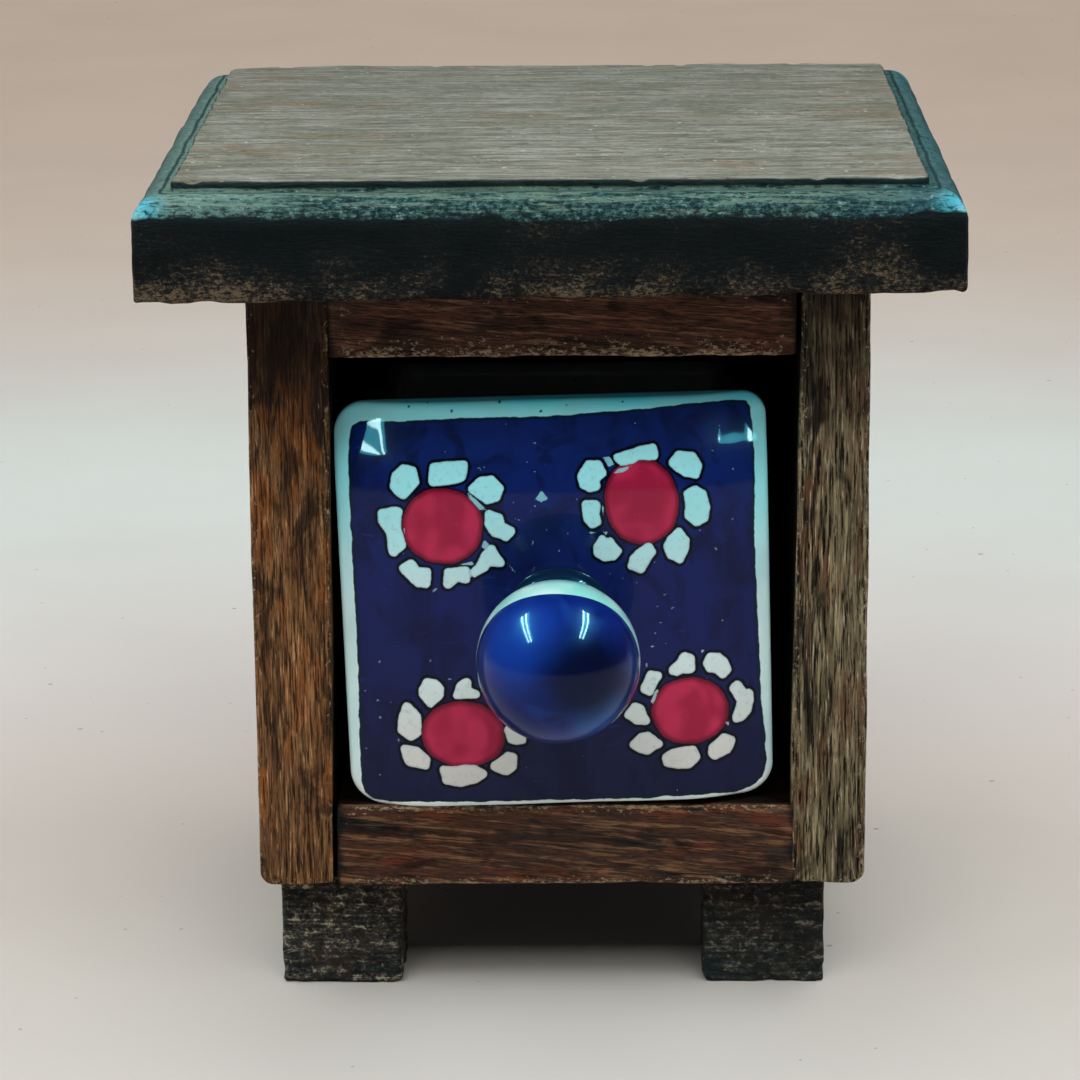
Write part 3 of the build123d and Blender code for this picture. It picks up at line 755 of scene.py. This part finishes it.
def painted_glaze():
    """Underglaze painting on white glaze. The white is painted aqua towards the top, and deep teal
    on the top rim, as cyan light from above. Inside the ground's edge lie cobalt laid on with a
    brush and bluer towards the top, black hair lines round hearts and petals, crimson with brush
    strokes, and petals of thick white that are painted aqua towards the top by the same light. A
    few specks broke through. The gloss is a coat, whose low IOR mirrors the room as faintly as the
    real glaze does."""
    material, tree, shader = new_finish(
        "cobalt_painted_glaze", Roughness=0.30, IOR=1.5, Specular_IOR_Level=0.03,
        Coat_Weight=1.0, Coat_Roughness=0.03, Coat_IOR=1.22)
    p = patterns(tree, {
        "pool": ((9, 9, 9), 1, 0.5, 0.0), "cloud": ((11, 11, 14), 3, 0.6, 0.6),
        "brush": ((5, 3, 8), 3, 0.55, 0.9), "stroke": ((5, 2, 1.1), 3, 0.5, 0.2),
        "dab": ((4.5, 2, 6.0), 1, 0.5, 0.3), "streak": ((0.8, 2, 0.8), 3, 0.7, 0.4),
        "dot": ((0.62, 0.62, 0.62), 0, 0.5, 0.0), "waver": ((0.8, 0.8, 0.8), 3, 0.6, 0.0)})
    z = coordinates(tree)[2]
    # Each mark is a distance to an edge in mm, and a brush's edge wavers by 0.05 mm.
    waver = wandering(tree, p["waver"], -0.05, 0.05)
    ground_mm, heart_mm, petal_mm, fleck_mm, speck_mm = (
        maths(tree, "ADD", mark, waver) for mark in read_marks(tree, *mark_names))
    beside_petal = maths(tree, "ABSOLUTE", maths(tree, "SUBTRACT", petal_mm, 0.22))

    # painted light: the white turns aqua towards the top and deep teal on the top rim, as cyan
    # light from above
    white = laid_over(
        tree, "#f0f0ee", (z, 0.024, 0.040, 1.0, "#d4f4f4"), (z, 0.055, 0.080, 1.0, "#98f6ff"),
        (z, 0.0858, 0.0880, 0.85, "#36c3d6"), (p["pool"], 0.45, 0.75, 0.3, "#97c6cb"),
        (speck_mm, 0.10, -0.04, 0.9, "#14202a"))
    cobalt = laid_over(
        tree, "#171b40", (z, 0.030, 0.060, 1.0, "#121e5a"), (z, 0.055, 0.088, 1.0, "#0b266c"),
        (p["brush"], 0.46, 0.68, 0.6, "#0a0f30"), (p["cloud"], 0.46, 0.66, 0.5, "#0b1138"),
        (p["stroke"], 0.66, 0.88, 0.5, "#1b48a0"), (p["dot"], 0.84, 0.87, 0.45, "#a9bbdc"))
    crimson = laid_over(
        tree, "#c02c54", (p["dab"], 0.36, 0.62, 0.7, "#8f1638"),
        (p["streak"], 0.64, 0.82, 0.5, "#dc6a8a"), (heart_mm, -0.9, -0.05, 0.8, "#52081f"))
    # painted light: the petals' white also turns aqua towards the top
    thick_white = laid_over(
        tree, "#d8d5d1", (z, 0.032, 0.054, 1.0, "#d6eaeb"), (z, 0.055, 0.078, 1.0, "#a4f2fa"),
        (p["streak"], 0.52, 0.76, 0.45, "#88b2bd"), (petal_mm, -0.30, 0.0, 0.35, "#5b93ad"))
    painted = laid_over(
        tree, cobalt, (heart_mm, 0.40, 0.05, 1.0, "#04050a"),
        (beside_petal, 0.32, 0.12, 0.95, "#04050a"), (heart_mm, 0.05, -0.05, 1.0, crimson),
        (petal_mm, 0.05, -0.06, 1.0, thick_white), (fleck_mm, 0.08, -0.06, 0.85, thick_white),
        (ground_mm, -0.70, -0.15, 0.8, "#07202c"))
    colour = laid_over(tree, white, (ground_mm, 0.08, -0.06, 1.0, painted))

    # The glaze lies in soft waves, and petals stand 0.05 mm proud.
    relief = maths(tree, "ADD", p["pool"], spread(tree, petal_mm, 0.15, -0.4, 0.0, 0.25))
    link_up(tree, shader, colour, relief, 0.5, 0.2)
    return material


points, quads, in_front = slab_skin()
marks = dict(zip(mark_names, paint_marks(points, in_front)))
slab = make_piece("painted_drawer_front", points, quads, painted_glaze(), **marks)
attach(slab, "drawer")
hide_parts("drawer_front")


# Drawer knob: a ball with a flared neck, luted to the slab. Its front was dipped in cobalt, and
# behind the dip's edge the white glaze shows as a ring, painted mint as cyan light from above. The
# neck is painted navy. Three painted reflections lie on the ball.
ball_r, ball_out, neck_r, flare_r = 11.3, 20.5, 6.2, 1.8
ball_stretch, ball_rise = 1.018, 0.25            # the ball is a little wide, and set high
dip_angle, dip_lean = 84.5, (-0.020, -0.01)      # degrees from the ball's front; towards x, z
dip_sag, sag_spread = 2.4, 0.8                   # mm that its edge hangs down on top; radians
# Painted reflections on the ball, in mm: a pale blue sheen, a cyan smudge and a dark reflection
painted_reflections = ((-4.5, -63.8, 62.0), (7.0, -63.5, 50.5), (5.0, -65.5, 57.0))   # pale, thin, thick


def tube_faces(rows, around):
    """Outward faces of a closed tube: quads between rows of points, each a ring that runs
    anticlockwise round the way the rows go, and a fan of triangles at either end to the two
    points that follow the rows."""
    grid = np.arange(rows * around).reshape(rows, around)
    after = np.roll(grid, -1, axis=1)
    quads = np.stack([grid[:-1], after[:-1], after[1:], grid[1:]], -1).reshape(-1, 4)
    first, last = np.full(around, grid.size), np.full(around, grid.size + 1)
    fans = np.concatenate([np.stack([first, after[0], grid[0]], 1),
                           np.stack([grid[-1], after[-1], last], 1)])
    return quads.tolist() + fans.tolist()


def knob_skin():
    """A profile turned round an axis along Y: a concave quarter of flare_r from the slab to the
    neck, then the arc of the ball from where the neck enters it to its front. The hand-shaped
    ball is a little uneven. Its dip mark is the way along its skin past the dip's edge, in mm."""
    low, high = corners("drawer_knob")
    axis_at = np.array([(low + high)[0] / 2, high[1], (low + high)[2] / 2])
    curl = np.linspace(0, math.pi / 2, 14)
    arc = np.linspace(math.pi - math.asin(neck_r / ball_r), 0.02, 110)
    radius = np.concatenate([[neck_r + flare_r], neck_r + flare_r * (1 - np.sin(curl)),
                             ball_r * np.sin(arc)[1:]])
    out = np.concatenate([[-0.4], 0.5 + flare_r * (1 - np.cos(curl)),
                          ball_out + ball_r * np.cos(arc)[1:]])
    r, turn = np.meshgrid(radius, np.linspace(0, 2 * math.pi, 169)[:-1], indexing="ij")
    y = np.broadcast_to(-out[:, None], r.shape)
    points = np.stack([r * np.cos(turn), y, r * np.sin(turn)], -1).reshape(-1, 3)
    points = np.concatenate([points, [[0, -out[0], 0], [0, -out[-1], 0]]])
    bulge = ball_stretch - 0.006 * np.maximum(1 + lumps(points, 11, 401), 0)
    points *= np.stack([bulge, np.ones(len(bulge)), bulge], 1)
    ball = points - (0, -ball_out, 0)
    facing = ball / np.linalg.norm(ball, axis=1)[:, None]
    dipped = np.array([dip_lean[0], -1, dip_lean[1]])
    past = np.arccos(np.clip(facing @ (dipped / np.linalg.norm(dipped)), -1, 1))
    round_ball = np.arctan2(ball[:, 0], ball[:, 2])
    dip = ((past - math.radians(dip_angle)) * ball_r + 0.10 * lumps(ball, 7, 402)
           + dip_sag * np.exp(-(round_ball / sag_spread) ** 2))
    return points + axis_at + (0, 0, ball_rise), tube_faces(*r.shape), dip, -points[:, 1]


def knob_finish():
    """Cobalt round the ball under clear gloss, with a blue sheen of its own, over white glaze; navy
    round the neck. Three spots are painted reflections: a pale blue sheen up on the left, a cyan
    smudge low on the right and a dark reflection right of the middle. The white is painted mint,
    and teal further back, as cyan light."""
    material, tree, shader = new_finish(
        "cobalt_dipped_glaze", Roughness=0.30, IOR=1.5, Specular_IOR_Level=0.10, Coat_Weight=1.0,
        Coat_Roughness=0.03, Coat_IOR=1.23)
    shader.inputs["Specular Tint"].default_value = linear("#6fc4ff")
    shader.inputs["Coat Tint"].default_value = linear("#f4ffff")
    p = patterns(tree, {
        "stroke": ((8, 6, 5), 2, 0.5, 0.5), "cloud": ((12, 12, 12), 2, 0.5, 0.3)})
    place = tree.nodes.new("ShaderNodeTexCoord").outputs["Object"]
    # distances to the painted reflections: pale is the sheen, thin the cyan smudge, thick the dark
    # reflection
    pale, thin, thick = (
        add(tree, "VectorMath", {0: place, 1: [c * MM for c in at]}, operation="DISTANCE")
        .node.outputs["Value"] for at in painted_reflections)
    dip, out = read_marks(tree, "dip_mm", "out_mm")
    behind = maths(tree, "ADD", out, wandering(tree, p["cloud"], -0.6, 0.6))
    blue = laid_over(
        tree, "#071460", (p["cloud"], 0.46, 0.60, 0.45, "#0e2c8c"),
        # painted reflections laid on the cobalt: sheen, cyan smudge and, below, the dark reflection
        (pale, 0.0100, 0.003, 0.60, "#1644ae"), (thin, 0.006, 0.002, 0.55, "#2a6cc0"),
        (p["stroke"], 0.52, 0.70, 0.3, "#1850a8"), (thick, 0.0100, 0.003, 0.95, "#040828"),
        (dip, -0.35, -0.02, 0.55, "#081650"))
    # painted light: the white ring is mint, and teal further back, as cyan light
    mint = laid_over(tree, "#dff8f4", (p["cloud"], 0.42, 0.62, 0.8, "#7fe0d8"),
                     (dip, 2.5, 5.0, 0.6, "#4fb5b8"))
    colour = laid_over(tree, blue, (dip, -0.06, 0.06, 1.0, mint),
                       (behind, 9.3, 8.7, 1.0, "#0a2440"))
    link_up(tree, shader, colour, p["cloud"], 0.35, 0.25)
    return material


points, faces, dip, out = knob_skin()
knob = make_piece("ball_knob", points, faces, knob_finish(), dip_mm=dip, out_mm=out)
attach(knob, "drawer")
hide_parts("drawer_knob")


# Drawer tub: an open earthenware box with soft corners, glazed white inside and out down to a
# bare clay foot, where it was wiped clean before firing. The slab is luted over its front.
tub_wall, tub_floor, tub_corner_r, tub_rim_r, lute = 4.0, 4.5, 4.0, 1.9, 3.2


def tub_skin():
    """A closed shell: a profile from the middle of the underside out to the wall, up and over a
    round rim, down inside and in to the middle of the floor. Each point of the profile shrinks
    the round-cornered plan, by how far in it lies, and the front wall is sunk in the slab."""
    low, high = corners("drawer_tub")
    low = low - (0, lute, 0)
    middle, half = (low + high) / 2, (high - low) / 2
    tall, narrow = high[2] - low[2], min(half[:2])
    bend = np.linspace(0, math.pi / 2, 7)
    rim = np.linspace(0, math.pi, 15)
    r, foot, cove = tub_wall / 2, 0.9, 3.0           # radii of the rim, the foot and the inside
    level, upright = 8, 22                           # rows across the floor and up the wall
    inset = np.concatenate([
        np.linspace(narrow * 0.92, foot + 0.4, level), foot * (1 - np.sin(bend)),
        np.zeros(upright), r * (1 - np.cos(rim)), np.full(upright, 2 * r),
        2 * r + cove * (1 - np.cos(bend)), np.linspace(2 * r + cove + 0.4, narrow * 0.92, level)])
    z = np.concatenate([
        np.zeros(level), foot * (1 - np.cos(bend)),
        np.linspace(foot + 1, tall - tub_rim_r - 1, upright),
        tall - tub_rim_r + tub_rim_r * np.sin(rim),
        np.linspace(tall - tub_rim_r - 1, tub_floor + cove + 1, upright),
        tub_floor + cove * (1 - np.sin(bend)), np.full(level, tub_floor)])
    side = np.linspace(-1, 1, 41)[:-1]
    one = np.ones(len(side))
    square = np.concatenate([np.stack(pair, 1) for pair in (
        (side, -one), (one, side), (-side, one), (-one, -side))])
    rows, around = len(inset), len(square)
    reach = half[:2] - inset[:, None, None]
    plan = square[None] * reach
    corner = np.maximum(tub_corner_r - inset * 0.6, 1.2)[:, None, None]
    core = np.clip(plan, -reach + corner, reach - corner)
    away = plan - core
    length = np.linalg.norm(away, axis=2, keepdims=True)
    plan = core + away / np.maximum(length, 1e-9) * np.where(length > 0, corner, 0)
    points = np.concatenate([plan, np.repeat(z, around).reshape(rows, around, 1)], 2)
    points = points.reshape(-1, 3) + (middle[0], middle[1], low[2])
    inward = np.sign(middle - points)[:, :2] * 0.16 * np.maximum(
        1 + lumps(points * (1, 1, 0.7), 16, 501), 0)[:, None]
    outer = np.repeat(np.arange(rows) < level + len(bend) + upright, around)
    outer &= points[:, 1] > low[1] + lute + 1
    points[:, :2] += inward * outer[:, None]
    ends = np.array([[*middle[:2], low[2]], [*middle[:2], low[2] + tub_floor]])
    return np.concatenate([points, ends]), tube_faces(rows, around), low[2]


def tub_finish(foot_z):
    """White glaze, aqua where it pools, over buff earthenware that shows bare below a wandering
    line 3 mm up and through pinholes about 1 mm across."""
    material, tree, shader = new_finish("white_glazed_earthenware", IOR=1.5)
    p = patterns(tree, {"pool": ((11, 11, 11), 3, 0.6, 0.0), "grit": ((0.6, 0.6, 0.6), 5, 0.7, 0.0),
                        "hole": ((1.1, 1.1, 1.1), 0, 0.5, 0.0)})
    z = maths(tree, "ADD", coordinates(tree)[2], wandering(tree, p["pool"], -0.0014, 0.0014))
    wiped = spread(tree, z, (foot_z + 3.1) * MM, (foot_z + 2.8) * MM, 0.0, 1.0)
    bare = maths(tree, "MAXIMUM", spread(tree, p["hole"], 0.80, 0.83, 0.0, 0.8), wiped)
    clay = laid_over(tree, "#8d6f55", (p["grit"], 0.35, 0.65, 1.0, "#d8c4a8"))
    colour = laid_over(tree, "#dbe6e4", (p["pool"], 0.42, 0.70, 0.5, "#a9cdd0"),
                       (bare, 0.0, 1.0, 1.0, clay))
    tree.links.new(spread(tree, bare, 0.0, 1.0, 0.1, 0.75), shader.inputs["Roughness"])
    relief = maths(tree, "ADD", p["pool"], maths(tree, "MULTIPLY", p["grit"], bare))
    link_up(tree, shader, colour, relief, 0.5, 0.3)
    return material


points, faces, foot_z = tub_skin()
tub = make_piece("earthenware_tub", points, faces, tub_finish(foot_z))
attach(tub, "drawer")
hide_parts("drawer_tub")


# Floor: one wide sheet of pale paper. Its colour changes with the distance from a place just in
# front of the chest: warm and a little darker near it, partly painted shade round the chest, a cool
# pale band behind it, and tan further off.
paper_from = (0.0, -120.0)       # mm, on the floor
paper_bands = ((0, "#c9c7c1"), (60, "#c7c4be"), (145, "#cbc4bc"), (200, "#cdc5bd"),
               (260, "#cfc9c5"), (330, "#cccdc9"), (415, "#d4ded9"), (520, "#d4d0ca"),
               (640, "#dacbbd"), (890, "#dfccbb"), (1300, "#e8d3c0"))
paper_far = 1300.0


def paper_finish():
    """Matt paper with a faint cloudiness, 60 mm across, and a few grains of dust."""
    material, tree, shader = new_finish("matt_paper", Roughness=0.85, Specular_IOR_Level=0.15)
    place = tree.nodes.new("ShaderNodeTexCoord").outputs["Object"]
    from_there = add(tree, "Mapping", {0: place, "Location": (-paper_from[0] * MM,
                                                              -paper_from[1] * MM, 0)})
    away = add(tree, "VectorMath", {0: from_there}, operation="LENGTH").node.outputs["Value"]
    away = spread(tree, away, 0.0, paper_far * MM, 0.0, 1.0)
    colour = add(tree, "ValToRGB", {0: away})
    ramp = colour.node.color_ramp
    ramp.interpolation = "B_SPLINE"
    ramp.elements[0].position, ramp.elements[0].color = 0.0, linear(paper_bands[0][1])
    ramp.elements[1].position, ramp.elements[1].color = 1.0, linear(paper_bands[-1][1])
    for distance, code in paper_bands[1:-1]:
        ramp.elements.new(distance / paper_far).color = linear(code)
    cloud = add(tree, "TexNoise", {"Vector": place, "Scale": 1 / 0.06, "Detail": 3.0})
    cloud = wandering(tree, cloud, 0.0, 0.10)
    colour = add(tree, "Mix", {0: cloud, 6: colour, 7: linear("#a79a8e")}, data_type="RGBA")
    dust = add(tree, "TexNoise", {"Vector": place, "Scale": 1 / 0.0021, "Detail": 0.0})
    dust = spread(tree, dust, 0.86, 0.88, 0.0, 0.5)
    link_up(tree, shader, add(tree, "Mix", {0: dust, 6: colour, 7: linear("#6b6058")},
                              data_type="RGBA"))
    return material


side = np.array([-9000.0, 9000.0])
points = np.stack([side[[0, 1, 1, 0]], side[[0, 0, 1, 1]], np.zeros(4)], 1)
floor = make_piece("paper_floor", points, [[0, 1, 2, 3]], paper_finish())


# Light: soft boxes overhead, behind and in front, a dim even room, and lamps that only show in
# the glaze, as paired highlights of two white streaks on a cyan wash. A level sheet gets about
# its own colour.
def lamp(name, start, end, width, watts, aim=(0, 0, 60), shown=None):
    """A rectangular lamp in mm: its middle line runs from start to end, and it faces aim. One
    with a shown colour is seen in glossy surfaces and lights nothing else; the others light and
    are seen in none."""
    start, end, aim = Vector(start), Vector(end), Vector(aim)
    middle, length = (start + end) / 2, (end - start).length
    light = bpy.data.lights.new(name, "AREA")
    light.shape, light.energy = "RECTANGLE", watts
    light.size, light.size_y = width * MM, length * MM
    along = (end - start) / length
    away = middle - aim
    away = (away - along * away.dot(along)).normalized()
    holder = bpy.data.objects.new(name, light)
    bpy.context.scene.collection.objects.link(holder)
    holder.matrix_world = Matrix.Translation(middle * MM) @ Matrix(
        (along.cross(away), along, away)).transposed().to_4x4()
    holder.visible_glossy, holder.visible_diffuse = bool(shown), not shown
    if shown:
        light.color = linear(shown)[:3]


for side, x_front, x_back, front, wash in (("left", -455, -330, -480, 110),
                                           ("right", 366, 273, -435, 80)):
    for part, shift, width, watts, shown in (("wash", 0, wash, 0.046 * wash, "#4fd6e6"),
                                             ("streak", -36, 20, 2.4, "#d8ffff"),
                                             ("second_streak", 24, 20, 2.4, "#d8ffff")):
        lamp(f"{side}_{part}", (x_front + shift, front, 520), (x_back + shift, 80, 520), width,
             watts, shown=shown)
lamp("left_soft_box", (-440, -380, 540), (-320, 190, 540), 200, 1.8)
lamp("right_soft_box", (400, -380, 540), (280, 190, 540), 200, 1.8)
lamp("back_soft_box", (-1300, 1500, 1600), (1300, 1500, 1600), 2400, 20.0, aim=(0, 600, 0))
lamp("front_soft_box", (-500, -760, 1080), (500, -760, 1080), 700, 9.0)
room = bpy.data.worlds.new("room")
room.use_nodes = True
room.node_tree.nodes["Background"].inputs["Color"].default_value = (1, 1, 1, 1)
room.node_tree.nodes["Background"].inputs["Strength"].default_value = 0.10
bpy.context.scene.world = room
bpy.context.scene.view_settings.view_transform = "Standard"
